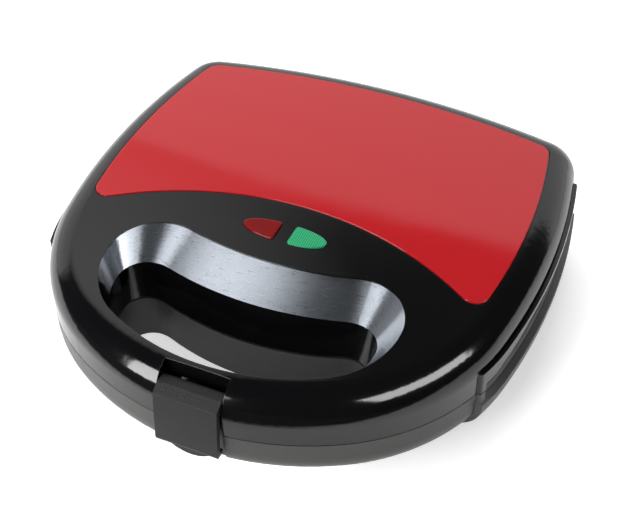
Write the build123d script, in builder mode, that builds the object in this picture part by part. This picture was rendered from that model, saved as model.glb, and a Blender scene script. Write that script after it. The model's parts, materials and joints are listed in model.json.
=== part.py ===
from build123d import *
import os
from math import atan, atan2, cos, degrees, radians, sin, sqrt

os.makedirs("parts", exist_ok=True)

# A two-slice sandwich maker: a lid and a base meet at a seam all round, a handle opening
# passes through both at the front, a latch hangs over the front bar and the lid turns on
# two pins behind the back wall. +Z is up, the front is -Y, and the origin lies under the
# middle of the overall box on the surface that the pads stand on.

# Heights above the surface
pad_h = 3.6
casing_z = 9.5
seam_z = 33.6
crown_z = 62.4
seam_gap = 0.6

# Outline of both casings: five tangent arcs from the front middle to the back middle
front_r = 131.75
front_turn = 29.6
corner_r = 96.8
corner_turn = 50.8
side_r = 326.4
side_turn = 22.35
back_corner_r = 19.8
back_corner_turn = 66.7

wall = 2.6
roof = 3.9
crown_r = 2400.0
crown_back = 141.0
rim_r = 14.6
under_r = 15.0
fit = 0.25

# Handle opening, all distances measured back from the front wall
hole_front = 14.2
hole_front_r = 108.0
skirt = 2.2
top_edge = {"mid": 80.2, "lobe": 86.8, "lobe_x": 49.0, "lobe_r": 30.0, "end_r": 24.0}
band_edge = {"mid": 61.1, "lobe": 68.2, "lobe_x": 50.0, "lobe_r": 20.0, "end_r": 13.7}
seam_edge = {"mid": 54.1, "lobe": 63.0, "lobe_x": 50.0, "lobe_r": 16.0, "end_r": 11.4}
top_edge_z = 60.8
band_edge_z = 52.0

# Side finger grooves
groove_front = 66.0
groove_back = 207.0
rib_w = 5.0
lip_out = 1.8
band_round = 1.6
lip_z = 43.6
lip_h = 2.6
flare_out = 2.8
flare_z = 29.0
flare_slope = 2.6

# Top panel
panel_inset = 14.2
panel_gap = 0.5
panel_seat = 1.2
panel_proud = 0.3
panel_front = 120.3
panel_front_r = 165.0
panel_tip_r = 7.0
peg_r = 1.5
peg_len = 5.5
peg_x = 78.0
peg_rows = (152.0, 212.0)
nut_r = 3.4
nut_h = 0.8

# Indicator lenses
lens_back = 100.2
lens_len = 17.6
lens_half_w = 6.2
lens_apart = 7.0
lens_corner_r = 1.4
lens_proud = 0.7
lens_h = 4.0
lens_gap = 0.2
lens_flange = 1.2
lens_flange_h = 0.8
holder_z = 52.0
holder_t = 1.6
holder_w = 68.0
holder_d = 10.0
holder_x = 30.0
lamp_r = 2.2
lamp_len = 14.0
lamp_x = 12.0

# Heating plates
plate_w = 205.0
plate_d = 122.0
plate_back = 151.2
plate_h = 11.5
plate_corner_r = 12.0
plate_rim = 7.0
divider = 9.0
ridge = 7.0
pocket_h = 9.3
pocket_taper = 16.0
pocket_corner_r = 5.0
plate_gap = 0.8

# Frames, heaters and reflectors behind the plates
frame_t = 2.4
heater_r = 3.2
heater_span_x = 84.0
heater_half_y = 24.0
heater_bend_r = 12.0
heater_back = 161.0
reflector_w = 186.0
reflector_d = 90.0
reflector_t = 0.8
reflector_h = 6.6
bolt_r = 1.5
bolt_head_r = 2.8
bolt_half_y = 38.0
sleeve_r = 3.2
mount_r = 4.0

# Screws through the frames into bosses
boss_r = 3.2
screw_r = 1.3
screw_head_r = 2.5
screw_head_h = 1.2
screw_len = 8.0
boss_spots = ((82.0, 59.0), (107.6, 109.0), (107.2, 193.0))

# Latch, its recess, keeper and pin
latch_w = 30.4
latch_gap = 0.4
recess_deep = 12.0
pivot_back = 6.2
pivot_z = 49.0
barrel_r = 4.2
pin_r = 1.5
pin_fit = 0.05
pin_seat = 1.6
latch_t = 2.4
shoulder_out = 1.8
shoulder_z = 50.4
face_out = 4.2
face_z = 24.5
return_z = 23.0
return_in = 0.8
return_h = 2.0
tab_drop = 6.5
tab_t = 2.2
tab_w = 25.0
hook_w = 18.0
hook_z = 24.6
hook_h = 2.9
hook_in = 1.1
keeper_in = 1.6
keeper_gap = 0.5
keeper_h = 3.4
keeper_w = 22.0
pocket_deep = 6.5

# Hinge
hinge_out = 3.0
hinge_up = 2.0
knuckle_r = 5.0
knuckle_x = 70.0
knuckle_w = 7.0
ear_w = 6.0
ear_gap = 0.4
hinge_pin_r = 2.0
hinge_root = 1.2
ear_drop = 13.0

# Feet and cord inlet
foot_x = 80.0
foot_front = 60.0
foot_back = 205.0
foot_r = 9.0
foot_z = 1.6
pad_r = 7.0
gland_x = 0.0
gland_z = 22.0
gland_r = 5.5
gland_bore_r = 3.4
gland_out = 5.0
gland_flange_r = 7.2
gland_in = 8.0
gland_round = 1.2
clamp_w = 26.0
clamp_t = 5.2
clamp_half = 9.5
clamp_gap = 1.2
clamp_bite = 6.0
clamp_z = 20.0
block_x = 30.0
block_w = 20.0
block_d = 9.0
block_h = 8.4
block_gap = 1.6

# Small allowances and details
slip = 0.03
window_gap = 0.8
hole_draft = 1.5
roof_slack = 0.15
arm_rise = 3.0
lens_round = 0.5
pad_round = 0.6
holder_bite = 4.5
bolt_reach = 4.0
lower_bite = 3.0
vent_rows = 7
vent_step = 9.0
vent_x = 46.0
vent_len = 30.0
vent_w = 2.2
thermostat_r = 7.0
thermostat_h = 4.4
tag_w = 3.0
strap_w = 5.0
fuse_r = 2.0
fuse_len = 12.0
latch_soft = 0.5
latch_round = 0.8

# Derived places
h1 = radians(front_turn)
h2 = h1 + radians(corner_turn)
h3 = h2 + radians(side_turn)
h4 = h3 + radians(back_corner_turn)
bends = ((front_r, 0, h1), (corner_r, h1, h2), (side_r, h2, h3), (back_corner_r, h3, h4))
half_w = sum(r * (sin(b) - sin(a)) for r, a, b in bends)
back_r = half_w / sin(h4)
back_turn = 180 - degrees(h4)
depth = sum(r * (cos(a) - cos(b)) for r, a, b in bends) + back_r * (cos(h4) + 1)
front_y = -(depth + hinge_out + knuckle_r - face_out) / 2
back_y = front_y + depth
upper_z = seam_z + seam_gap / 2
lower_z = seam_z - seam_gap / 2
crown_y = front_y + crown_back
crown_center = (0, crown_y, crown_z - crown_r)
plate_y = front_y + plate_back
heater_y = front_y + heater_back
pivot_y = front_y + pivot_back
hinge_y = back_y + hinge_out
hinge_z = seam_z + hinge_up
tall = 2 * crown_z
plate_face = plate_gap / 2
upper_back = seam_z + plate_face + plate_h
lower_back = seam_z - plate_face - plate_h
floor_z = casing_z + wall
recess_w = latch_w + 2 * latch_gap
latch_front = front_y - face_out
gland_face_y = back_y + slip
clamp_y = plate_y + plate_d / 2 + clamp_gap + boss_r
block_y = back_y - under_r - block_gap - block_d / 2
clamp_xs = (gland_x - clamp_half, gland_x + clamp_half)
bolt_end = reflector_h + reflector_t + bolt_reach
bolt_short = reflector_h + reflector_t + lower_bite
bolt_lens = {
    "upper": plate_h + reflector_h + reflector_t + bolt_reach - slip,
    "lower": plate_h + reflector_h + reflector_t + lower_bite - slip,
}
hinge_wall_x = knuckle_x + knuckle_w / 2 + ear_gap + ear_w
hinge_wall_y = back_y - back_r + sqrt(back_r ** 2 - hinge_wall_x ** 2) - hinge_root
STANDING = (Align.CENTER, Align.CENTER, Align.MIN)
HANGING = (Align.CENTER, Align.CENTER, Align.MAX)


def crown_at(x, y, depth_below=0.0):
    """Height of the domed top, or of a dome the given depth below it, at a place."""
    r = crown_r - depth_below
    return crown_z - crown_r + sqrt(r * r - x * x - (y - crown_y) ** 2)


def draw_outline(grow=0.0):
    """Face inside the casing outline, offset outwards by grow."""
    with BuildLine() as loop:
        front = JernArc((0, front_y - grow), (1, 0), front_r + grow, front_turn)
        corner = JernArc(front @ 1, front % 1, corner_r + grow, corner_turn)
        side = JernArc(corner @ 1, corner % 1, side_r + grow, side_turn)
        turn = JernArc(side @ 1, side % 1, back_corner_r + grow, back_corner_turn)
        JernArc(turn @ 1, turn % 1, back_r + grow, back_turn)
        mirror(about=Plane.YZ)
    make_face(loop.edges())


def draw_hole(edge, grow=0.0):
    """Crescent of the handle opening: a dip between two lobes, round ends, an arched front."""
    mid_y = front_y + edge["mid"]
    lobe_y = front_y + edge["lobe"]
    lobe_x = edge["lobe_x"]
    dip_turn = 2 * atan((lobe_y - mid_y) / lobe_x)
    dip_r = lobe_x / sin(dip_turn) - edge["lobe_r"]
    end_x = lobe_x + edge["end_r"]
    end_y = lobe_y - edge["end_r"]
    arch_y = front_y + hole_front + hole_front_r
    rest = hole_front_r ** 2 - end_x ** 2 - (end_y - arch_y) ** 2
    cheek_r = rest / (2 * (hole_front_r - end_x))
    cheek_turn = degrees(atan2(arch_y - end_y, end_x - cheek_r))
    with BuildLine() as loop:
        dip = JernArc((0, mid_y + grow), (1, 0), dip_r - grow, degrees(dip_turn))
        lobe = JernArc(dip @ 1, dip % 1, edge["lobe_r"] + grow, -degrees(dip_turn))
        end = JernArc(lobe @ 1, lobe % 1, edge["end_r"] + grow, -90)
        cheek = JernArc(end @ 1, end % 1, cheek_r + grow, -cheek_turn)
        JernArc(cheek @ 1, cheek % 1, hole_front_r + grow, cheek_turn - 90)
        mirror(about=Plane.YZ)
    make_face(loop.edges())


def draw_side_band(grow, start, end, soft=True):
    """Slice of the grown outline between two distances back from the front wall."""
    draw_outline(grow)
    with Locations((0, front_y + (start + end) / 2)):
        Rectangle(4 * half_w, end - start, mode=Mode.INTERSECT)
    if soft:
        ends = vertices().group_by(Axis.Y)
        fillet(ends[0] + ends[-1], band_round)


def draw_panel(grow=0.0):
    """Outline of the top panel: the casing outline drawn in, with an arched front edge."""
    draw_outline(grow - panel_inset)
    with Locations((0, front_y + panel_front - panel_front_r)):
        Circle(panel_front_r - grow, mode=Mode.SUBTRACT)
    offset(amount=-panel_tip_r - grow)
    offset(amount=panel_tip_r + grow)


def draw_lens(side, grow=0.0):
    """Half ellipse with its flat end towards the middle of the lid."""
    flat_x = lens_apart / 2
    with Locations((side * flat_x, front_y + lens_back)):
        Ellipse(lens_len + grow, lens_half_w + grow)
    with Locations((side * (flat_x - grow - lens_len), front_y + lens_back)):
        Rectangle(2 * lens_len, 4 * lens_half_w, mode=Mode.SUBTRACT)
    fillet(vertices(), lens_corner_r)


def both_sides(spots):
    """Pairs of places, right and left, from distances right of the middle and back."""
    return [(s * x, front_y + b) for x, b in spots for s in (1, -1)]


# Cutters shared by the lid's pieces
with BuildPart() as panel_pocket:
    with BuildSketch(Plane.XY.offset(seam_z)):
        draw_panel(panel_gap)
    extrude(amount=tall)
    with Locations(crown_center):
        Sphere(crown_r - panel_seat, rotation=(90, 0, 0), mode=Mode.SUBTRACT)

with BuildPart() as upper_opening:
    with BuildSketch(Plane.XY.offset(seam_z - 1)):
        draw_hole(seam_edge)
    with BuildSketch(Plane.XY.offset(band_edge_z)):
        draw_hole(band_edge)
    loft(ruled=True)
    with BuildSketch(Plane.XY.offset(band_edge_z)):
        draw_hole(band_edge)
    with BuildSketch(Plane.XY.offset(top_edge_z)):
        draw_hole(top_edge)
    loft(ruled=True)
    with BuildSketch(Plane.XY.offset(top_edge_z)):
        draw_hole(top_edge)
    extrude(amount=rim_r)

screw_spots = both_sides(boss_spots)
peg_spots = both_sides([(peg_x, row) for row in peg_rows])
holder_spots = both_sides([(holder_x, lens_back)])
foot_spots = both_sides([(foot_x, foot_front), (foot_x, foot_back)])
bolt_spots = [(0, heater_y - bolt_half_y), (0, heater_y + bolt_half_y)]

with BuildPart() as upper_cavity:
    with BuildSketch(Plane.XY.offset(seam_z - 1)):
        draw_outline(-wall)
    extrude(amount=tall)
    with Locations(crown_center):
        Sphere(crown_r - roof, rotation=(90, 0, 0), mode=Mode.INTERSECT)
    fillet(faces().sort_by(Axis.Z)[-1].edges(), rim_r - wall)
    with BuildSketch(Plane.XY.offset(seam_z - 1)):
        draw_hole(seam_edge, skirt)
    with BuildSketch(Plane.XY.offset(band_edge_z)):
        draw_hole(band_edge, skirt)
    loft(ruled=True, mode=Mode.SUBTRACT)
    with BuildSketch(Plane.XY.offset(band_edge_z)):
        draw_hole(band_edge, skirt)
    with BuildSketch(Plane.XY.offset(top_edge_z)):
        draw_hole(top_edge, skirt)
    loft(ruled=True, mode=Mode.SUBTRACT)
    with Locations((0, front_y, seam_z)):
        Box(recess_w + 2 * wall, 2 * (recess_deep + skirt), tall, mode=Mode.SUBTRACT)
    with Locations(*[(x, y, upper_z + frame_t) for x, y in screw_spots]):
        Cylinder(boss_r, tall, align=STANDING, mode=Mode.SUBTRACT)
    with Locations(*[(x, y, holder_z) for x, y in holder_spots]):
        Cylinder(boss_r, tall, align=STANDING, mode=Mode.SUBTRACT)
    with Locations(*[(x, y, upper_back + reflector_h + reflector_t) for x, y in bolt_spots]):
        Cylinder(mount_r, tall, align=STANDING, mode=Mode.SUBTRACT)

# Lid casing
with BuildPart() as upper_casing:
    with BuildSketch(Plane.XY.offset(upper_z)):
        draw_outline()
    extrude(amount=tall)
    with Locations(crown_center):
        Sphere(crown_r, rotation=(90, 0, 0), mode=Mode.INTERSECT)
    fillet(faces().sort_by(Axis.Z)[-1].edges(), rim_r)
    with BuildSketch(Plane.XY.offset(lip_z)):
        draw_side_band(lip_out, groove_front, groove_back)
    extrude(amount=lip_h)
    with BuildSketch(Plane.XY.offset(upper_z)):
        draw_side_band(lip_out, groove_front, groove_front + rib_w)
    extrude(amount=lip_z + lip_h - upper_z)
    with BuildSketch(Plane.XY.offset(upper_z)):
        draw_side_band(lip_out, groove_back - rib_w, groove_back)
    extrude(amount=lip_z + lip_h - upper_z)
    for side in (1, -1):
        with BuildSketch(Plane.YZ.offset(side * knuckle_x - knuckle_w / 2)):
            with Locations((hinge_y, hinge_z)):
                Circle(knuckle_r)
            with BuildLine() as arm:
                Polyline(
                    (hinge_wall_y, upper_z),
                    (hinge_y, upper_z),
                    (hinge_y, hinge_z + knuckle_r),
                    (hinge_wall_y, hinge_z + knuckle_r + arm_rise),
                    close=True,
                )
            make_face()
            with Locations((hinge_y, hinge_z)):
                Circle(hinge_pin_r + pin_fit, mode=Mode.SUBTRACT)
        extrude(amount=knuckle_w)
    add(upper_cavity.part, mode=Mode.SUBTRACT)
    add(upper_opening.part, mode=Mode.SUBTRACT)
    add(panel_pocket.part, mode=Mode.SUBTRACT)
    with Locations((0, front_y, seam_z)):
        Box(recess_w, 2 * recess_deep, tall, mode=Mode.SUBTRACT)
    with Locations((0, pivot_y, pivot_z)):
        Cylinder(pin_r + slip, recess_w + 2 * pin_seat, rotation=(0, 90, 0), mode=Mode.SUBTRACT)
    for side in (1, -1):
        with BuildSketch(Plane.XY.offset(seam_z)):
            draw_lens(side, lens_gap)
        extrude(amount=tall, mode=Mode.SUBTRACT)
    with Locations(*[(x, y, seam_z) for x, y in peg_spots]):
        Cylinder(peg_r + slip, tall, align=STANDING, mode=Mode.SUBTRACT)
    with Locations(*[(x, y, upper_z) for x, y in screw_spots]):
        Cylinder(screw_r + slip, screw_len + slip, align=STANDING, mode=Mode.SUBTRACT)
    with Locations(*[(x, y, holder_z) for x, y in holder_spots]):
        Cylinder(screw_r + slip, holder_bite, align=STANDING, mode=Mode.SUBTRACT)
    with Locations(*[(x, y, upper_back) for x, y in bolt_spots]):
        Cylinder(bolt_r + slip, bolt_end, align=STANDING, mode=Mode.SUBTRACT)
upper_casing.part.label = "upper_casing"
export_step(upper_casing.part, "parts/upper_casing.step")

# Top panel, with pegs that pass through the roof
with BuildPart() as top_panel:
    with BuildSketch(Plane.XY.offset(seam_z)):
        draw_panel()
    extrude(amount=tall)
    with Locations(crown_center):
        Sphere(crown_r + panel_proud, rotation=(90, 0, 0), mode=Mode.INTERSECT)
        Sphere(crown_r - panel_seat, rotation=(90, 0, 0), mode=Mode.SUBTRACT)
    with Locations(*[(x, y, crown_at(x, y)) for x, y in peg_spots]):
        Cylinder(peg_r, peg_len + panel_seat, align=HANGING)
top_panel.part.label = "top_panel"
export_step(top_panel.part, "parts/top_panel.step")

with BuildPart() as panel_nuts:
    with Locations(*[(x, y, crown_at(x, y, roof) - roof_slack) for x, y in peg_spots]):
        Cylinder(nut_r, nut_h, align=HANGING)
        Cylinder(peg_r + slip, nut_h, align=HANGING, mode=Mode.SUBTRACT)
panel_nuts.part.label = "panel_nuts"
export_step(panel_nuts.part, "parts/panel_nuts.step")

# Indicator lenses, each with a flange under the roof
flange_y = front_y + lens_back
flange_z = crown_at(lens_apart / 2 + lens_len, flange_y - lens_half_w, roof) - roof_slack
for name, side in (("red_lens", -1), ("green_lens", 1)):
    with BuildPart() as lens:
        with BuildSketch(Plane.XY.offset(flange_z)):
            draw_lens(side)
        extrude(amount=crown_at(side * lamp_x, flange_y) + lens_proud - flange_z)
        rim = lens.faces().sort_by(Axis.Z)[-1].edges()
        fillet(rim, lens_round)
        with BuildSketch(Plane.XY.offset(flange_z)):
            draw_lens(side, lens_flange)
        extrude(amount=-lens_flange_h)
    lens.part.label = name
    export_step(lens.part, "parts/" + name + ".step")

# Lamp holder, its screws and the two neon lamps on it
with BuildPart() as lamp_holder:
    with Locations((0, flange_y, holder_z)):
        Box(holder_w, holder_d, holder_t, align=HANGING)
    with Locations(*[(x, y, holder_z) for x, y in holder_spots]):
        Cylinder(screw_r + slip, holder_t, align=HANGING, mode=Mode.SUBTRACT)
    for side in (1, -1):
        with Locations((side * lamp_x, flange_y - lamp_r - slip, holder_z)):
            Box(lamp_len, holder_t, lamp_r, align=(Align.CENTER, Align.MAX, Align.MIN))
        with Locations((side * lamp_x, flange_y + lamp_r + slip, holder_z)):
            Box(lamp_len, holder_t, lamp_r, align=(Align.CENTER, Align.MIN, Align.MIN))
lamp_holder.part.label = "lamp_holder"
export_step(lamp_holder.part, "parts/lamp_holder.step")

with BuildPart() as holder_screws:
    with Locations(*[(x, y, holder_z - holder_t) for x, y in holder_spots]):
        Cylinder(screw_head_r, screw_head_h, align=HANGING)
        Cylinder(screw_r, holder_t + holder_bite - slip, align=STANDING)
holder_screws.part.label = "lamp_holder_screws"
export_step(holder_screws.part, "parts/lamp_holder_screws.step")

for name, side in (("red_lamp", -1), ("green_lamp", 1)):
    with BuildPart() as lamp:
        with Locations((side * lamp_x, flange_y, holder_z + lamp_r + slip)):
            Cylinder(lamp_r, lamp_len, rotation=(0, 90, 0))
        fillet(lamp.edges(), lamp_r / 2)
    lamp.part.label = name
    export_step(lamp.part, "parts/" + name + ".step")

# Base casing with feet, hinge ears, latch pocket and keeper
with BuildPart() as lower_cavity:
    with BuildSketch(Plane.XY.offset(floor_z)):
        draw_outline(-wall)
    extrude(amount=tall)
    fillet(faces().sort_by(Axis.Z)[0].edges(), under_r - wall)
    with BuildSketch(Plane.XY):
        draw_hole(seam_edge, skirt)
    extrude(amount=tall, mode=Mode.SUBTRACT)
    with Locations((0, front_y, seam_z)):
        Box(recess_w + 2 * wall, 2 * (pocket_deep + skirt), tall, mode=Mode.SUBTRACT)
    with Locations(*[(x, y, lower_z - frame_t) for x, y in screw_spots]):
        Cylinder(boss_r, tall, align=HANGING, mode=Mode.SUBTRACT)
    with Locations(*[(x, y, lower_back - reflector_h - reflector_t) for x, y in bolt_spots]):
        Cylinder(mount_r, tall, align=HANGING, mode=Mode.SUBTRACT)
    with Locations(*[(x, clamp_y, clamp_z) for x in clamp_xs]):
        Cylinder(boss_r, tall, align=HANGING, mode=Mode.SUBTRACT)

with BuildPart() as flare:
    with BuildSketch(Plane.XY.offset(casing_z)):
        draw_side_band(flare_out, groove_front, groove_back, soft=False)
    extrude(amount=flare_z - casing_z)
    below = faces().sort_by(Axis.Z)[0].edges().filter_by(GeomType.CIRCLE)
    fillet(below, under_r)
    above = faces().sort_by(Axis.Z)[-1].edges().filter_by(GeomType.CIRCLE)
    chamfer(above, flare_slope)

with BuildPart() as lower_casing:
    with BuildSketch(Plane.XY.offset(casing_z)):
        draw_outline()
    extrude(amount=lower_z - casing_z)
    fillet(faces().sort_by(Axis.Z)[0].edges(), under_r)
    add(flare.part)
    with BuildSketch(Plane.XY.offset(flare_z - flare_slope)):
        draw_side_band(lip_out, groove_front, groove_front + rib_w)
    extrude(amount=lower_z - flare_z + flare_slope)
    with BuildSketch(Plane.XY.offset(flare_z - flare_slope)):
        draw_side_band(lip_out, groove_back - rib_w, groove_back)
    extrude(amount=lower_z - flare_z + flare_slope)
    for side in (1, -1):
        for end in (1, -1):
            ear_x = side * knuckle_x + end * (knuckle_w / 2 + ear_gap + ear_w / 2)
            with BuildSketch(Plane.YZ.offset(ear_x - ear_w / 2)):
                with Locations((hinge_y, hinge_z)):
                    Circle(knuckle_r)
                with BuildLine() as web:
                    Polyline(
                        (hinge_wall_y, lower_z),
                        (hinge_wall_y, lower_z - ear_drop),
                        (hinge_y + knuckle_r * sin(radians(45)), hinge_z - knuckle_r * sin(radians(45))),
                        (hinge_y, hinge_z),
                        (hinge_y - knuckle_r * cos(radians(30)), lower_z),
                        close=True,
                    )
                make_face()
                with Locations((hinge_y, hinge_z)):
                    Circle(hinge_pin_r + slip, mode=Mode.SUBTRACT)
            extrude(amount=ear_w)
    add(lower_cavity.part, mode=Mode.SUBTRACT)
    with BuildSketch(Plane.XY):
        draw_hole(seam_edge)
    extrude(amount=tall, mode=Mode.SUBTRACT)
    with Locations((0, front_y, seam_z)):
        Box(recess_w, 2 * pocket_deep, tall, mode=Mode.SUBTRACT)
    with Locations((0, front_y + keeper_in, hook_z + hook_h + keeper_gap)):
        keeper_deep = pocket_deep - keeper_in + hinge_root
        Box(keeper_w, keeper_deep, keeper_h, align=(Align.CENTER, Align.MIN, Align.MIN))
    with Locations(*[(x, y, foot_z) for x, y in foot_spots]):
        Cylinder(foot_r, floor_z - foot_z, align=STANDING)
        Cylinder(pad_r + slip, pad_h - foot_z, align=STANDING, mode=Mode.SUBTRACT)
    with Locations(*[(x, y, lower_z) for x, y in screw_spots]):
        Cylinder(screw_r + slip, screw_len + slip, align=HANGING, mode=Mode.SUBTRACT)
    with Locations(*[(x, y, lower_back) for x, y in bolt_spots]):
        Cylinder(bolt_r + slip, bolt_short, align=HANGING, mode=Mode.SUBTRACT)
    with Locations(*[(x, clamp_y, clamp_z) for x in clamp_xs]):
        Cylinder(screw_r + slip, clamp_bite, align=HANGING, mode=Mode.SUBTRACT)
    for row in range(vent_rows):
        for side in (1, -1):
            with BuildSketch(Plane.XY.offset(casing_z)):
                with Locations((side * vent_x, plate_y + (row - vent_rows // 2) * vent_step)):
                    SlotOverall(vent_len, vent_w)
            extrude(amount=wall, mode=Mode.SUBTRACT)
    with Locations((gland_x, back_y, gland_z)):
        Cylinder(gland_r + slip, 2 * under_r, rotation=(90, 0, 0), mode=Mode.SUBTRACT)
lower_casing.part.label = "lower_casing"
export_step(lower_casing.part, "parts/lower_casing.step")

with BuildPart() as foot_pads:
    with Locations(*[(x, y, 0) for x, y in foot_spots]):
        Cylinder(pad_r, pad_h, align=STANDING)
    bottoms = foot_pads.faces().filter_by(Plane.XY).group_by(Axis.Z)[0].edges()
    fillet(bottoms, pad_round)
foot_pads.part.label = "foot_pads"
export_step(foot_pads.part, "parts/foot_pads.step")

with BuildPart() as hinge_pins:
    with Locations((knuckle_x, hinge_y, hinge_z), (-knuckle_x, hinge_y, hinge_z)):
        Cylinder(hinge_pin_r, knuckle_w + 2 * ear_gap + 2 * ear_w, rotation=(0, 90, 0))
hinge_pins.part.label = "hinge_pins"
export_step(hinge_pins.part, "parts/hinge_pins.step")

# Cord inlet: gland in the back wall, clamp bar over the cord's place, terminal block
with BuildPart() as cord_gland:
    with BuildSketch(Plane.XZ.offset(-gland_face_y)):
        with Locations((gland_x, gland_z)):
            Circle(gland_r)
    extrude(amount=gland_in)
    with BuildSketch(Plane.XZ.offset(-gland_face_y)):
        with Locations((gland_x, gland_z)):
            Circle(gland_flange_r)
    extrude(amount=-gland_out)
    fillet(cord_gland.faces().sort_by(Axis.Y)[-1].edges(), gland_round)
    with Locations((gland_x, gland_face_y, gland_z)):
        Cylinder(gland_bore_r, 4 * gland_in, rotation=(90, 0, 0), mode=Mode.SUBTRACT)
cord_gland.part.label = "cord_gland"
export_step(cord_gland.part, "parts/cord_gland.step")

with BuildPart() as cord_clamp:
    with Locations((gland_x, clamp_y, clamp_z)):
        Box(clamp_w, 2 * boss_r, clamp_t, align=STANDING)
        Cylinder(gland_bore_r, 4 * boss_r, rotation=(90, 0, 0), mode=Mode.SUBTRACT)
    with Locations(*[(x, clamp_y, clamp_z) for x in clamp_xs]):
        Cylinder(screw_r + slip, clamp_t, align=STANDING, mode=Mode.SUBTRACT)
cord_clamp.part.label = "cord_clamp"
export_step(cord_clamp.part, "parts/cord_clamp.step")

with BuildPart() as clamp_screws:
    with Locations(*[(x, clamp_y, clamp_z + clamp_t) for x in clamp_xs]):
        Cylinder(screw_head_r, screw_head_h, align=STANDING)
        Cylinder(screw_r, clamp_t + clamp_bite - slip, align=HANGING)
clamp_screws.part.label = "cord_clamp_screws"
export_step(clamp_screws.part, "parts/cord_clamp_screws.step")

with BuildPart() as terminal_block:
    with Locations((block_x, block_y, floor_z)):
        Box(block_w, block_d, block_h, align=STANDING)
    with Locations((block_x - block_w / 4, block_y, floor_z + block_h)):
        Cylinder(screw_r, block_h / 2, align=HANGING, mode=Mode.SUBTRACT)
    with Locations((block_x + block_w / 4, block_y, floor_z + block_h)):
        Cylinder(screw_r, block_h / 2, align=HANGING, mode=Mode.SUBTRACT)
terminal_block.part.label = "terminal_block"
export_step(terminal_block.part, "parts/terminal_block.step")

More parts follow.
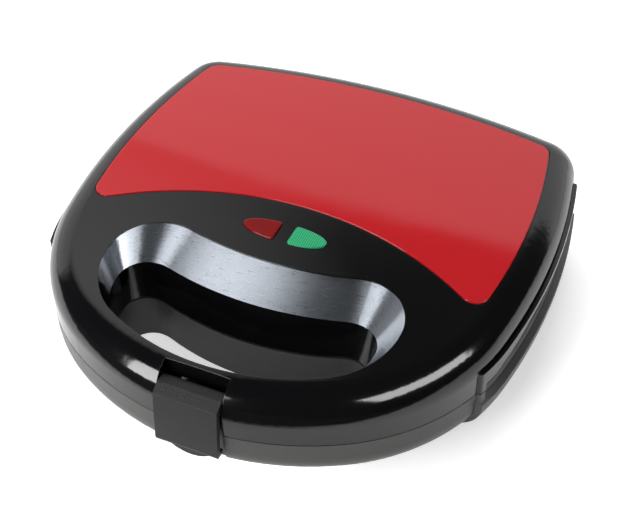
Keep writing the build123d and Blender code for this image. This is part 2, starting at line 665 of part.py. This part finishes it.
# The same inner pieces for lid and base, built away from the seam on either side of it
for half, way, seam, deep in (("upper", 1, upper_z, recess_deep), ("lower", -1, lower_z, pocket_deep)):
    rise = STANDING if way == 1 else HANGING
    back_z = seam_z + way * (plate_face + plate_h)
    sheet_z = back_z + way * reflector_h

    with BuildPart() as frame:
        with BuildSketch(Plane.XY.offset(seam)):
            draw_outline(-wall - fit)
            with Locations((0, plate_y)):
                RectangleRounded(
                    plate_w + 2 * window_gap,
                    plate_d + 2 * window_gap,
                    plate_corner_r + window_gap,
                    mode=Mode.SUBTRACT,
                )
            with Locations((0, front_y)):
                Rectangle(recess_w + 2 * wall + fit, 2 * (deep + skirt + fit), mode=Mode.SUBTRACT)
        extrude(amount=way * frame_t)
        with BuildSketch(Plane.XY.offset(seam)):
            draw_hole(seam_edge, skirt + hole_draft)
        extrude(amount=way * frame_t, mode=Mode.SUBTRACT)
        with Locations(*[(x, y, seam) for x, y in screw_spots]):
            Cylinder(screw_head_r + slip, screw_head_h, align=rise, mode=Mode.SUBTRACT)
            Cylinder(screw_r + slip, frame_t, align=rise, mode=Mode.SUBTRACT)
    frame.part.label = half + "_frame"
    export_step(frame.part, "parts/" + half + "_frame.step")

    with BuildPart() as frame_screws:
        with Locations(*[(x, y, seam) for x, y in screw_spots]):
            Cylinder(screw_head_r, screw_head_h, align=rise)
            Cylinder(screw_r, screw_len, align=rise)
    frame_screws.part.label = half + "_frame_screws"
    export_step(frame_screws.part, "parts/" + half + "_frame_screws.step")

    with BuildPart() as plate:
        with BuildSketch(Plane.XY.offset(seam_z + way * plate_face)):
            with Locations((0, plate_y)):
                RectangleRounded(plate_w, plate_d, plate_corner_r)
        extrude(amount=way * plate_h)
        bay_w = plate_w / 2 - plate_rim - divider / 2
        bay_d = plate_d - 2 * plate_rim
        slope = degrees(atan2(bay_d, bay_w))
        with BuildSketch(Plane.XY.offset(seam_z + way * plate_face)):
            with Locations((divider / 2 + bay_w / 2, plate_y)):
                Rectangle(bay_w, bay_d)
                Rectangle(2 * bay_w, ridge, rotation=-slope, mode=Mode.SUBTRACT)
            fillet(vertices(), pocket_corner_r)
            mirror(about=Plane.YZ)
        extrude(amount=way * pocket_h, taper=pocket_taper, mode=Mode.SUBTRACT)
        with Locations(*[(x, y, seam_z + way * plate_face) for x, y in bolt_spots]):
            Cylinder(bolt_head_r + slip, screw_head_h, align=rise, mode=Mode.SUBTRACT)
            Cylinder(bolt_r + slip, plate_h, align=rise, mode=Mode.SUBTRACT)
    plate.part.label = half + "_heating_plate"
    export_step(plate.part, "parts/" + half + "_heating_plate.step")

    with BuildPart() as bolts:
        with Locations(*[(x, y, seam_z + way * plate_face) for x, y in bolt_spots]):
            Cylinder(bolt_head_r, screw_head_h, align=rise)
            Cylinder(bolt_r, bolt_lens[half], align=rise)
    bolts.part.label = half + "_plate_bolts"
    export_step(bolts.part, "parts/" + half + "_plate_bolts.step")

    with BuildPart() as sleeves:
        with Locations(*[(x, y, back_z) for x, y in bolt_spots]):
            Cylinder(sleeve_r, reflector_h, align=rise)
            Cylinder(bolt_r + slip, reflector_h, align=rise, mode=Mode.SUBTRACT)
    sleeves.part.label = half + "_plate_sleeves"
    export_step(sleeves.part, "parts/" + half + "_plate_sleeves.step")

    with BuildPart() as heater:
        with BuildLine() as path:
            FilletPolyline(
                (-heater_span_x, heater_y - heater_half_y, back_z + way * heater_r),
                (heater_span_x, heater_y - heater_half_y, back_z + way * heater_r),
                (heater_span_x, heater_y + heater_half_y, back_z + way * heater_r),
                (-heater_span_x, heater_y + heater_half_y, back_z + way * heater_r),
                radius=heater_bend_r,
            )
        with BuildSketch(Plane(origin=path.line @ 0, z_dir=path.line % 0)):
            Circle(heater_r)
        sweep()
    heater.part.label = half + "_heater"
    export_step(heater.part, "parts/" + half + "_heater.step")

    with BuildPart() as reflector:
        with Locations((0, heater_y, sheet_z + way * reflector_t)):
            Box(reflector_w, reflector_d, reflector_h, align=HANGING if way == 1 else STANDING)
        inner_w = reflector_w - 2 * reflector_t
        inner_d = reflector_d - 2 * reflector_t
        with Locations((0, heater_y, sheet_z)):
            Box(inner_w, inner_d, reflector_h, align=HANGING if way == 1 else STANDING, mode=Mode.SUBTRACT)
        with Locations(*[(x, y, sheet_z) for x, y in bolt_spots]):
            Cylinder(bolt_r + slip, reflector_t, align=rise, mode=Mode.SUBTRACT)
    reflector.part.label = half + "_reflector"
    export_step(reflector.part, "parts/" + half + "_reflector.step")

# Thermostat on the back of the upper plate and thermal fuse on the lower one
with BuildPart() as thermostat:
    with Locations((0, heater_y, upper_back)):
        Cylinder(thermostat_r, thermostat_h, align=STANDING)
    for end in (1, -1):
        with Locations((0, heater_y + end * thermostat_r, upper_back + thermostat_h / 2)):
            Box(tag_w, 2 * tag_w, reflector_t)
thermostat.part.label = "thermostat"
export_step(thermostat.part, "parts/thermostat.step")

with BuildPart() as thermostat_strap:
    with Locations((0, heater_y, upper_back)):
        Box(2 * thermostat_r + strap_w, strap_w, thermostat_h + reflector_t, align=STANDING)
        Box(2 * thermostat_r + 2 * slip, strap_w, thermostat_h, align=STANDING, mode=Mode.SUBTRACT)
thermostat_strap.part.label = "thermostat_strap"
export_step(thermostat_strap.part, "parts/thermostat_strap.step")

with BuildPart() as thermal_fuse:
    with Locations((0, heater_y, lower_back - fuse_r)):
        Cylinder(fuse_r, fuse_len, rotation=(0, 90, 0))
        Cylinder(fuse_r / 4, 2 * fuse_len, rotation=(0, 90, 0))
thermal_fuse.part.label = "thermal_fuse"
export_step(thermal_fuse.part, "parts/thermal_fuse.step")

with BuildPart() as fuse_strap:
    with Locations((0, heater_y, lower_back)):
        Box(strap_w, 2 * fuse_r + strap_w, 2 * fuse_r + reflector_t, align=HANGING)
        Box(strap_w, 2 * fuse_r + 2 * slip, 2 * fuse_r + slip, align=HANGING, mode=Mode.SUBTRACT)
fuse_strap.part.label = "fuse_strap"
export_step(fuse_strap.part, "parts/fuse_strap.step")

# Latch: barrel, shoulder and face in one section, a return with a hook and a thumb tab
with BuildPart() as latch:
    with BuildSketch(Plane.YZ.offset(-latch_w / 2)):
        with BuildLine() as section:
            Polyline(
                (pivot_y, pivot_z + barrel_r),
                (front_y + barrel_r - shoulder_out / 2, pivot_z + barrel_r),
                (front_y - shoulder_out, shoulder_z),
                (latch_front, face_z),
                (latch_front + latch_soft, return_z),
                (front_y + return_in, return_z),
                (front_y + return_in, return_z + return_h),
                (latch_front + latch_t, return_z + return_h),
                (front_y - shoulder_out + latch_t, pivot_z - barrel_r / 2),
                (pivot_y, pivot_z - barrel_r),
                close=True,
            )
        make_face()
        with Locations((pivot_y, pivot_z)):
            Circle(barrel_r)
            Circle(pin_r + pin_fit, mode=Mode.SUBTRACT)
    extrude(amount=latch_w)
    fillet(latch.edges().filter_by(Axis.X).sort_by(Axis.Y)[0], latch_round)
    with Locations((0, front_y + hook_in, hook_z)):
        hook_deep = face_out + hook_in - latch_t / 2
        Box(hook_w, hook_deep, hook_h, align=(Align.CENTER, Align.MAX, Align.MIN))
    with BuildSketch(Plane.XZ.offset(-front_y - return_in)):
        with BuildLine() as moon:
            ThreePointArc((-tab_w / 2, return_z), (0, return_z - tab_drop), (tab_w / 2, return_z))
            Line((tab_w / 2, return_z), (-tab_w / 2, return_z))
        make_face()
    extrude(amount=tab_t)
latch.part.label = "latch"
export_step(latch.part, "parts/latch.step")

with BuildPart() as latch_pin:
    with Locations((0, pivot_y, pivot_z)):
        Cylinder(pin_r, recess_w + 2 * pin_seat - slip, rotation=(0, 90, 0))
latch_pin.part.label = "latch_pin"
export_step(latch_pin.part, "parts/latch_pin.step")
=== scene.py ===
# %% [markdown]
# # A sandwich maker in black plastic and red lacquer
# The lid is closed, as it stands on a white table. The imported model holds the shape,
# the size and the joints. This script adds what the eye wants: gloss and grain, small
# rounded edges, a brushed band, the ribs in a lens, and a plain pale studio.

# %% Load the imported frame
import json
import math

import bmesh
import bpy
from mathutils import Matrix, Vector

MM = 0.001
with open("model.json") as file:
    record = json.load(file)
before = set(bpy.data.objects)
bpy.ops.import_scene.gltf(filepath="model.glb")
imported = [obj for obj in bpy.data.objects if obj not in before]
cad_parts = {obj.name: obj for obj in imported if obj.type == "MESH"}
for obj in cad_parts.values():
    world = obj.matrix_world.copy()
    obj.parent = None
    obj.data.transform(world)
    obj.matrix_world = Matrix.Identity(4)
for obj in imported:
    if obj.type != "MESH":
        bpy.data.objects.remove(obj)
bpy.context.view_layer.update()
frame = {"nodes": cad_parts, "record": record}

# %% [markdown]
# ## The camera comes first
# The camera looks down at about 43 degrees, from 24 degrees to the right of the front.
# Its distance and lens were found from the way that the outline narrows to the back. A
# Track To constraint could aim it, but directions keep the small roll as a plain number.

# %% Directions round the object


def toward(azimuth, elevation):
    """Unit direction from the object; azimuth 0 is the front and 90 is the right."""
    az, el = math.radians(azimuth), math.radians(elevation)
    return Vector((math.sin(az) * math.cos(el), -math.cos(az) * math.cos(el), math.sin(el)))


print("straight to the right:", [round(v, 3) for v in toward(90, 0)])

# %% Camera
VIEW_AZIMUTH = 24.12
VIEW_ELEVATION = 43.38
VIEW_ROLL = -0.75
VIEW_DISTANCE = 592 * MM
VIEW_TARGET = Vector((22.6 * MM, -30.4 * MM, 60 * MM))
FOCAL_PIXELS = 1300
PICTURE_WIDTH = 640
SENSOR = 36.0


def camera_matrix():
    """World matrix of the camera, with its own right, top and back directions as columns."""
    back = toward(VIEW_AZIMUTH, VIEW_ELEVATION)
    side = toward(VIEW_AZIMUTH + 90, 0)
    up = back.cross(side)
    tilt = math.radians(VIEW_ROLL)
    right = math.cos(tilt) * side + math.sin(tilt) * up
    top = math.cos(tilt) * up - math.sin(tilt) * side
    turn = Matrix((right, top, back)).transposed()
    return Matrix.Translation(VIEW_TARGET + VIEW_DISTANCE * back) @ turn.to_4x4()


scene = bpy.context.scene
scene.view_settings.view_transform = "Standard"
camera_data = bpy.data.cameras.new("camera")
camera_data.sensor_width = SENSOR
camera_data.lens = FOCAL_PIXELS * SENSOR / PICTURE_WIDTH
camera = bpy.data.objects.new("camera", camera_data)
scene.collection.objects.link(camera)
camera.matrix_world = camera_matrix()
scene.camera = camera
print("camera: lens", round(camera_data.lens, 1), "mm at", [round(v, 3) for v in camera.location])

# %% [markdown]
# ## Small tools for node trees
# Materials, groups and the world are all node trees. A few short functions make the
# nodes that come back often, so that each finish reads as what it is.

# %% Node helpers for numbers and vectors


def put(tree, socket, value):
    """Links a socket to an input, or sets the input where value is a number or a colour."""
    if isinstance(value, bpy.types.NodeSocket):
        tree.links.new(value, socket)
    else:
        socket.default_value = value


def calculate(tree, operation, *values):
    """The result of a Math node; each value is a number or a socket."""
    node = tree.nodes.new("ShaderNodeMath")
    node.operation = operation
    for socket, value in zip(node.inputs, values):
        put(tree, socket, value)
    return node.outputs["Value"]


def vector_math(tree, operation, output, *values):
    """The named output of a Vector Math node."""
    node = tree.nodes.new("ShaderNodeVectorMath")
    node.operation = operation
    for socket, value in zip(node.inputs, values):
        put(tree, socket, value)
    return node.outputs[output]


def coordinates(tree, kind="Object"):
    """A vector output of a Texture Coordinate node."""
    return tree.nodes.new("ShaderNodeTexCoord").outputs[kind]


def split(tree, vector):
    """The X, Y and Z of a vector."""
    node = tree.nodes.new("ShaderNodeSeparateXYZ")
    put(tree, node.inputs["Vector"], vector)
    return node.outputs["X"], node.outputs["Y"], node.outputs["Z"]


print("number and vector helpers ready")

# %% Node helpers for ramps, mixes and textures


def ramp(tree, value, low, high, at_low=0.0, at_high=1.0, shape="LINEAR"):
    """A value that goes from at_low to at_high while the input goes from low to high."""
    node = tree.nodes.new("ShaderNodeMapRange")
    node.interpolation_type = shape
    settings = {"Value": value, "From Min": low, "From Max": high, "To Min": at_low, "To Max": at_high}
    for label, setting in settings.items():
        put(tree, node.inputs[label], setting)
    return node.outputs["Result"]


def blend(tree, kind, share, first, second):
    """Mixes two numbers (kind FLOAT) or two colours (kind RGBA)."""
    node = tree.nodes.new("ShaderNodeMix")
    node.data_type = kind
    put(tree, node.inputs["Factor"], share)
    put(tree, node.inputs["A"], first)
    put(tree, node.inputs["B"], second)
    return node.outputs["Result"]


def noise(tree, vector, size, detail):
    """Noise on given coordinates."""
    node = tree.nodes.new("ShaderNodeTexNoise")
    put(tree, node.inputs["Vector"], vector)
    put(tree, node.inputs["Scale"], size)
    put(tree, node.inputs["Detail"], detail)
    return node.outputs["Fac"]


def bump(tree, height, strength, distance, normal=None):
    """A normal that is tilted by a height, over another normal if there is one."""
    node = tree.nodes.new("ShaderNodeBump")
    put(tree, node.inputs["Height"], height)
    put(tree, node.inputs["Strength"], strength)
    put(tree, node.inputs["Distance"], distance)
    if normal is not None:
        put(tree, node.inputs["Normal"], normal)
    return node.outputs["Normal"]


print("ramp, mix and texture helpers ready")

# %% Material and group helpers


def new_material(name, color, roughness, **sockets):
    """A material with one Principled shader; other sockets are set by name."""
    material = bpy.data.materials.new(name)
    material.use_nodes = True
    dress(material.node_tree.nodes["Principled BSDF"], color, Roughness=roughness, **sockets)
    return material


def dress(shader, color, **sockets):
    """Sets the colour and the named plain values of a Principled shader."""
    shader.inputs["Base Color"].default_value = (*color, 1)
    for label, value in sockets.items():
        shader.inputs[label.replace("_", " ")].default_value = value


def new_surface_group(name, values):
    """An empty group that takes numbers and puts out a roughness and a normal."""
    group = bpy.data.node_groups.new(name, "ShaderNodeTree")
    for label, value in values.items():
        socket = group.interface.new_socket(label, in_out="INPUT", socket_type="NodeSocketFloat")
        socket.default_value = value
    for label, kind in (("Roughness", "NodeSocketFloat"), ("Normal", "NodeSocketVector")):
        group.interface.new_socket(label, in_out="OUTPUT", socket_type=kind)
    given = group.nodes.new("NodeGroupInput").outputs
    result = group.nodes.new("NodeGroupOutput").inputs
    return group, given, result


def add_surface(material, shader, group, values):
    """Puts a surface group into a material, sets it and feeds the shader from it."""
    tree = material.node_tree
    node = tree.nodes.new("ShaderNodeGroup")
    node.node_tree = group
    for label, value in values.items():
        node.inputs[label].default_value = value
    for label in ("Roughness", "Normal"):
        tree.links.new(node.outputs[label], shader.inputs[label])


print("material helpers ready")

# %% [markdown]
# ## Moulded surface
# Polished plastic is never a perfect mirror. The mould leaves long shallow waves, and
# handling leaves patches that are a little duller. Real edges have a small radius that
# catches light. Painted textures could show all this, but noise on Object coordinates
# has no seams and follows each piece as it moves.

# %% Group for moulded surfaces
WAVE_HEIGHT = 1 * MM
GRAIN_HEIGHT = 0.3 * MM
PATCH_SIZE = 18.0
EDGE_RADIUS = 0.35 * MM


def moulded_group():
    """Shallow waves, fine grain and dull patches over softly rounded edges."""
    group, given, result = new_surface_group("moulded_surface", {
        "Wave Size": 60.0, "Wave Depth": 0.02, "Grain Size": 900.0, "Grain Depth": 0.0,
        "Roughness": 0.1, "Spread": 0.04, "Edge Radius": EDGE_RADIUS,
    })
    place = coordinates(group)
    waves = noise(group, place, given["Wave Size"], 1.0)
    grain = noise(group, place, given["Grain Size"], 2.0)
    patches = noise(group, place, PATCH_SIZE, 4.0)
    edge = group.nodes.new("ShaderNodeBevel")
    edge.samples = 4
    put(group, edge.inputs["Radius"], given["Edge Radius"])
    waved = bump(group, waves, given["Wave Depth"], WAVE_HEIGHT, edge.outputs["Normal"])
    put(group, result["Normal"], bump(group, grain, given["Grain Depth"], GRAIN_HEIGHT, waved))
    gloss = calculate(group, "MULTIPLY_ADD", patches, given["Spread"], given["Roughness"])
    put(group, result["Roughness"], gloss)
    return group


MOULDED = moulded_group()
print("group", MOULDED.name, "with", len(MOULDED.nodes), "nodes")

# %% [markdown]
# ## Finishes
# The object has few materials. The casings are polished black plastic, and the base is a
# little duller. The latch is satin, the panel is red lacquer, and the lenses are tinted.
# The feet are rubber. Inside are non-stick coating, steel, bright sheet, ceramic and a
# plastic that stands heat. Each could have nodes of its own, but they differ only in
# colour, gloss and grain, so one function makes them all from those.

# %% Finishes


def moulded(name, color, roughness, spread=0.04, grain=0.0, size=900.0, edge=EDGE_RADIUS, **sockets):
    """A material whose roughness and normal come from the moulded group."""
    material = new_material(name, color, roughness, **sockets)
    add_surface(material, material.node_tree.nodes["Principled BSDF"], MOULDED, {
        "Grain Depth": grain, "Grain Size": size, "Roughness": roughness, "Spread": spread,
        "Edge Radius": edge,
    })
    return material


LOOKS = {
    "black_gloss": dict(color=(0.0022, 0.0023, 0.0027), roughness=0.09),
    "black_satin": dict(color=(0.014,) * 3, roughness=0.46, grain=0.7, size=1500, Specular_IOR_Level=0.35),
    "red_gloss": dict(color=(0.41, 0.0105, 0.0145), roughness=0.04, edge=0.9 * MM, Specular_IOR_Level=0.38),
    "nonstick": dict(color=(0.02, 0.02, 0.021), roughness=0.38, grain=0.6, size=1300),
    "steel": dict(color=(0.55, 0.55, 0.56), roughness=0.28, Metallic=1.0),
    "bright_sheet": dict(color=(0.78, 0.78, 0.79), roughness=0.2, Metallic=1.0),
    "heat_plastic": dict(color=(0.012,) * 3, roughness=0.35, grain=0.4),
    "rubber": dict(color=(0.02,) * 3, roughness=0.7, grain=0.8, size=700),
    "ceramic": dict(color=(0.7, 0.68, 0.6), roughness=0.5, grain=0.3),
    "lens_red": dict(color=(0.17, 0.006, 0.006), roughness=0.06, edge=0.8 * MM, Specular_IOR_Level=0.2),
    "lens_green": dict(color=(0.008, 0.27, 0.1), roughness=0.12, edge=0.8 * MM, Specular_IOR_Level=0.3),
    "lamp_glass": dict(color=(1.0, 0.9, 0.8), roughness=0.05, Transmission_Weight=1.0),
}
finishes = {name: moulded(name, **look) for name, look in LOOKS.items()}
print("finishes:", ", ".join(finishes))

# %% [markdown]
# ## Brushed lines
# The sloping band in the handle opening is finished like brushed metal, with fine level
# lines along it. They make its gloss much wider across the lines than along them, so a
# lamp draws a tall soft streak. A picture of scratches would have to be bent round the
# curve, so noise that is stretched flat gives the lines, and an anisotropic shader the
# streaks.

# %% Group for brushed lines
LINE_STRETCH = (0.02, 0.06, 1)
LINE_HEIGHT = 0.1 * MM


def brushed_group():
    """Fine level lines along a face, as a roughness and a normal."""
    group, given, result = new_surface_group(
        "brushed_lines", {"Line Size": 9000.0, "Depth": 0.4, "Roughness": 0.22, "Spread": 0.14}
    )
    stretched = vector_math(group, "MULTIPLY", "Vector", coordinates(group), LINE_STRETCH)
    lines = noise(group, stretched, given["Line Size"], 3.0)
    put(group, result["Normal"], bump(group, lines, given["Depth"], LINE_HEIGHT))
    gloss = calculate(group, "MULTIPLY_ADD", lines, given["Spread"], given["Roughness"])
    put(group, result["Roughness"], gloss)
    return group


BRUSHED = brushed_group()
print("group", BRUSHED.name, "with", len(BRUSHED.nodes), "nodes")

# %% [markdown]
# ## Two finishes on one casing
# Each casing is one moulding with a second finish inside the handle opening: the brushed
# band on the lid, and a duller wall on the base, painted darker as shade in the opening.
# The mesh could be split, but then the imported piece would no longer be whole. A mask
# finds the place instead, by height, by slope, by place and by distance from the centre
# of the front arc.

# %% Mask for the inside of the handle opening
FRONT_ARC_CENTER = 12.2 * MM
FRONT_ARC_REACH = 113.5 * MM
OPENING_BACK = -30 * MM
OPENING_HALF = 72 * MM
SLOPE_FADE = 0.3


def opening_mask(tree, lowest, highest, steepest, flattest):
    """1 inside the opening between two heights, fading out where the face gets steep."""
    x, y, z = split(tree, coordinates(tree))
    slope = split(tree, coordinates(tree, "Normal"))[2]
    flat = vector_math(
        tree, "MULTIPLY_ADD", "Vector", coordinates(tree), (1, 1, 0), (0, -FRONT_ARC_CENTER, 0)
    )
    reach = vector_math(tree, "LENGTH", "Value", flat)
    mask = ramp(tree, slope, steepest, steepest + SLOPE_FADE, shape="SMOOTHSTEP")
    for operation, value, limit in (
        ("GREATER_THAN", z, lowest),
        ("LESS_THAN", z, highest),
        ("LESS_THAN", slope, flattest),
        ("LESS_THAN", reach, FRONT_ARC_REACH),
        ("LESS_THAN", y, OPENING_BACK),
        ("LESS_THAN", x, OPENING_HALF),
        ("GREATER_THAN", x, -OPENING_HALF),
    ):
        mask = calculate(tree, "MULTIPLY", mask, calculate(tree, operation, value, limit))
    return mask


print("opening mask reaches", FRONT_ARC_REACH / MM, "mm from the front arc's centre")

# %% Second finish where a mask is 1


def add_second_shader(material, mask):
    """Mixes a second Principled shader into a material and returns it."""
    tree = material.node_tree
    second = tree.nodes.new("ShaderNodeBsdfPrincipled")
    mix = tree.nodes.new("ShaderNodeMixShader")
    tree.links.new(mask, mix.inputs["Fac"])
    tree.links.new(tree.nodes["Principled BSDF"].outputs["BSDF"], mix.inputs[1])
    tree.links.new(second.outputs["BSDF"], mix.inputs[2])
    tree.links.new(mix.outputs["Shader"], tree.nodes["Material Output"].inputs["Surface"])
    return second


print("second finishes can be mixed in")

# %% Lid casing with its brushed band
BAND_LOWEST = 52 * MM
BAND_HIGHEST = 61.5 * MM
BAND_COLOR = (0.52, 0.56, 0.62)

lid_black = finishes["black_gloss"].copy()
lid_black.name = "upper_casing_black"
lid_tree = lid_black.node_tree
band_mask = opening_mask(lid_tree, BAND_LOWEST, BAND_HIGHEST, steepest=0.5, flattest=0.965)
band = add_second_shader(lid_black, band_mask)
dress(band, BAND_COLOR, Metallic=1.0, Anisotropic=1.0)
add_surface(lid_black, band, BRUSHED, {})
upright = lid_tree.nodes.new("ShaderNodeVectorTransform")
upright.vector_type = "VECTOR"
upright.convert_from = "OBJECT"
upright.convert_to = "WORLD"
upright.inputs["Vector"].default_value = (0, 0, 1)
lid_tree.links.new(upright.outputs["Vector"], band.inputs["Tangent"])
print("band from", BAND_LOWEST / MM, "to", BAND_HIGHEST / MM, "mm high")

# %% Base casing with its dull inner wall, painted darker as shade
WALL_HIGHEST = 34 * MM
BASE_COLOR = (0.035, 0.035, 0.033)
# The inner wall is duller, and its darker colour is painted shade inside the handle opening.
WALL_SHADE_COLOR = (0.022, 0.022, 0.02)

base_black = moulded("lower_casing_black", BASE_COLOR, 0.3, spread=0.1, grain=0.3, size=1500)
dull_and_shaded_wall_mask = opening_mask(base_black.node_tree, 0.0, WALL_HIGHEST, steepest=-0.5, flattest=0.5)
wall = add_second_shader(base_black, dull_and_shaded_wall_mask)
dress(wall, WALL_SHADE_COLOR)
add_surface(base_black, wall, MOULDED, {"Roughness": 0.5, "Grain Depth": 0.6, "Grain Size": 1200.0})
print("dull wall up to", WALL_HIGHEST / MM, "mm high")

# %% [markdown]
# ## Ribs in the green lens
# The green lens has fine ribs under a clear skin, which spread the lamp's light. They
# could be cut into the mesh, but with a rib a millimetre a striped colour of painted light
# and shade, with a small bump, looks alike from here and leaves the lens whole.

# %% Ribs under the skin of the green lens, with painted light and shade
RIB_SCALE = 300
RIB_STRENGTH = 0.4
RIB_HEIGHT = 0.2 * MM
# Painted light and painted shade of the ribs, striped across the lens colour.
RIB_SHADE = (0.004, 0.15, 0.055, 1)
RIB_LIT = (0.03, 0.45, 0.2, 1)

lens_tree = finishes["lens_green"].node_tree
lens_shader = lens_tree.nodes["Principled BSDF"]
ribs = lens_tree.nodes.new("ShaderNodeTexWave")
ribs.wave_type = "BANDS"
ribs.bands_direction = "X"
put(lens_tree, ribs.inputs["Scale"], RIB_SCALE)
put(lens_tree, ribs.inputs["Vector"], coordinates(lens_tree))
painted_rib_light = blend(lens_tree, "RGBA", ribs.outputs["Fac"], RIB_SHADE, RIB_LIT)
put(lens_tree, lens_shader.inputs["Base Color"], painted_rib_light)
skin = lens_shader.inputs["Normal"].links[0].from_socket
ribbed = bump(lens_tree, ribs.outputs["Fac"], RIB_STRENGTH, RIB_HEIGHT, skin)
put(lens_tree, lens_shader.inputs["Normal"], ribbed)
print("ribs in", finishes["lens_green"].name)

# %% [markdown]
# ## Dressing the nodes
# The record says which material slot each node takes its finish from. The two casings
# have a finish of their own, and every other node gets the one that its slot names. A
# list of nodes for each finish would do too, but it would say the same thing twice.

# %% Give each node its finish
OWN_FINISH = {"upper_casing": lid_black, "lower_casing": base_black}
for entry in frame["record"]["subparts"]:
    node = frame["nodes"][entry["node"]]
    node.data.materials.clear()
    node.data.materials.append(OWN_FINISH.get(entry["node"], finishes[entry["material_slot"]]))

# %% [markdown]
# ## The table
# The object stands on a white table, and the picture keeps only its soft shadow. In the
# black plastic the table ends shortly in front of the object. So its material glows for
# the camera, more so away from the object, and turns dark for reflections past its
# front. A short table in a dark room would reflect alike but would show its edge.

# %% Table
TABLE_HALF = 4
TABLE_FRONT = -162 * MM
TABLE_FADE = 12 * MM
SHADOW_REACH = 0.2
NEAR_GLOW = 0.58
MIRRORED_GLOW = 0.4
TABLE_WHITE = (0.82, 0.82, 0.82, 1)
ROOM_DARK = (0.06, 0.06, 0.06, 1)


def table_material():
    """White with shadows for the camera; in reflections it ends in front of the object."""
    material = new_material("table_white", TABLE_WHITE[:3], 0.9, Specular_IOR_Level=0.0)
    tree = material.node_tree
    shader = tree.nodes["Principled BSDF"]
    path = tree.nodes.new("ShaderNodeLightPath").outputs
    across = split(tree, coordinates(tree))[1]
    behind = ramp(tree, across, TABLE_FRONT - TABLE_FADE, TABLE_FRONT + TABLE_FADE)
    ahead = calculate(tree, "SUBTRACT", 1.0, behind)
    gone = calculate(tree, "MULTIPLY", ahead, path["Is Glossy Ray"])
    put(tree, shader.inputs["Base Color"], blend(tree, "RGBA", gone, TABLE_WHITE, ROOM_DARK))
    apart = vector_math(tree, "LENGTH", "Value", coordinates(tree))
    glow = ramp(tree, apart, SHADOW_REACH, 3 * SHADOW_REACH, NEAR_GLOW, 1.0)
    mirrored = calculate(tree, "SUBTRACT", path["Is Glossy Ray"], gone)
    mirrored = calculate(tree, "MULTIPLY", mirrored, MIRRORED_GLOW)
    shown = calculate(tree, "MULTIPLY_ADD", path["Is Camera Ray"], glow, mirrored)
    shader.inputs["Emission Color"].default_value = (1, 1, 1, 1)
    put(tree, shader.inputs["Emission Strength"], shown)
    return material


bm = bmesh.new()
bmesh.ops.create_grid(bm, x_segments=1, y_segments=1, size=TABLE_HALF)
table_mesh = bpy.data.meshes.new("table")
bm.to_mesh(table_mesh)
bm.free()
table_mesh.materials.append(table_material())
table = bpy.data.objects.new("table", table_mesh)
scene.collection.objects.link(table)
print("table", 2 * TABLE_HALF, "m across")

# %% [markdown]
# ## Lamps
# The highlights show one large softbox to the right at about 40 degrees and one low at
# the front left. The shadow comes from a third above the back left. The right one only
# adds its reflection, and the back one only its light, so that both can be placed freely.
# An environment picture could hold them all, but plain lamps are easier to move.

# %% Softboxes


def softbox(name, azimuth, elevation, distance, size, radiance):
    """A rectangular lamp that faces the object; radiance 1 is as bright as white paper."""
    data = bpy.data.lights.new(name, "AREA")
    data.shape = "RECTANGLE"
    data.size, data.size_y = size
    data.energy = radiance * math.pi * size[0] * size[1]
    lamp = bpy.data.objects.new(name, data)
    scene.collection.objects.link(lamp)
    direction = toward(azimuth, elevation)
    lamp.location = distance * direction
    lamp.rotation_euler = direction.to_track_quat("Z", "Y").to_euler()
    return lamp


right_box = softbox("right_softbox", 78, 40, 3.0, (2.6, 1.06), 10)
front_box = softbox("front_softbox", -29, 20, 2.5, (1.45, 1.6), 13)
back_box = softbox("back_left_softbox", -150, 62, 1.6, (1.2, 0.9), 6)
right_box.visible_diffuse = False
back_box.visible_glossy = False
print("lamps:", [(lamp.name, round(lamp.data.energy)) for lamp in (right_box, front_box, back_box)])

# %% [markdown]
# ## Backdrop
# Behind the object a white backdrop reaches to about 43 degrees, and the room is dark
# above it, so the panel's reflection of it ends there. The backdrop is drawn in the world
# as three round patches of white, as if far away. Sheets in the scene would do as well,
# but would need care to stay out of the other views.

# %% Backdrop and dark room, as the world
ROOM_LEVEL = 0.05
BACKDROP_LEVEL = 1.1
BACKDROP_PATCHES = (
    dict(azimuth=-172, elevation=-6, radius=49.3, softness=0.4),
    dict(azimuth=-128, elevation=6, radius=32, softness=2),
    dict(azimuth=-131, elevation=47, radius=12, softness=7),
)


def backdrop_patch(tree, azimuth, elevation, radius, softness):
    """Brightness of the world in one round patch; the radius is an angle in degrees."""
    middle = toward(azimuth, elevation)
    nearness = vector_math(tree, "DOT_PRODUCT", "Value", coordinates(tree, "Generated"), middle)
    outer, inner = [math.cos(math.radians(radius + side * softness)) for side in (1, -1)]
    return ramp(tree, nearness, outer, inner, ROOM_LEVEL, BACKDROP_LEVEL)


world = bpy.data.worlds.new("studio")
scene.world = world
world.use_nodes = True
sky = world.node_tree
patches = [backdrop_patch(sky, **patch) for patch in BACKDROP_PATCHES]
brightness = patches[0]
for patch in patches[1:]:
    brightness = calculate(sky, "MAXIMUM", brightness, patch)
camera_ray = sky.nodes.new("ShaderNodeLightPath").outputs["Is Camera Ray"]
background = sky.nodes["Background"]
background.inputs["Color"].default_value = (1, 1, 1, 1)
put(sky, background.inputs["Strength"], blend(sky, "FLOAT", camera_ray, brightness, 1.0))
print("world:", len(patches), "patches of backdrop")
